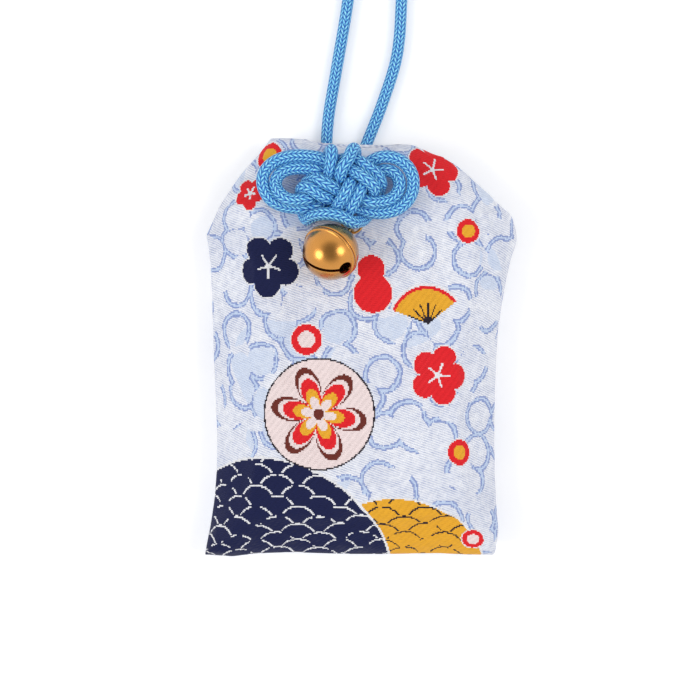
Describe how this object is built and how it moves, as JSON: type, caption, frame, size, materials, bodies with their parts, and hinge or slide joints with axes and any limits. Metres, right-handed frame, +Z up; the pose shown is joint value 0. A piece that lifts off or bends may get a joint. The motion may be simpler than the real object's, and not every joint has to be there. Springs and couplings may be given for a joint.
{
  "type": "omamori charm",
  "caption": "Flat padded brocade charm pouch with a double ear knot tied in braided cord, a small crotal bell and a long cord loop.",
  "frame": {"origin": "middle of the pouch seen from the front, at the surface it lies on", "axes": "+X to the right of the pouch's front, +Y towards the mouth and the cord's loop, +Z up out of the front"},
  "size_m": [0.0552, 0.1774, 0.0201],
  "materials": {
    "brocade": "woven satin brocade",
    "lining_cloth": "matt interlining",
    "wadding": "matt fibre",
    "card": "matt card",
    "paper": "matt paper",
    "tablet_wood": "plain planed wood",
    "braid": "satin braided cord",
    "bell_brass": "polished",
    "ring_brass": "polished wire",
    "pellet_iron": "plain"
  },
  "bodies": {
    "pouch": {"pouch_front": "brocade", "pouch_back": "brocade", "seam_bottom": "brocade", "seam_right": "brocade", "seam_left": "brocade", "mouth_tuck": "brocade", "lining_front": "lining_cloth", "lining_back": "lining_cloth", "padding_front": "wadding", "padding_back": "wadding", "stiffener_card": "card", "paper_wrap_front": "paper", "paper_wrap_back": "paper", "charm_tablet": "tablet_wood", "front_knot": "braid", "cord_left": "braid", "cord_right": "braid", "end_knot": "braid", "tail_left": "braid", "tail_right": "braid", "jump_ring": "ring_brass"},
    "bell": {"bell_crown": "bell_brass", "bell_jaw": "bell_brass", "bell_bail": "ring_brass"},
    "pellet": {"bell_pellet": "pellet_iron"}
  },
  "joints": [
    {"name": "bell_swing", "type": "hinge", "parent": "pouch", "child": "bell", "pos_m": [-0.00186, 0.02019, 0.01108], "axis": [0, 0, 1], "range_deg": [-8, 45]},
    {"name": "pellet_roll", "type": "hinge", "parent": "bell", "child": "pellet", "pos_m": [-0.0053, 0.01666, 0.01508], "axis": [1, 0, 0], "continuous": true}
  ]
}
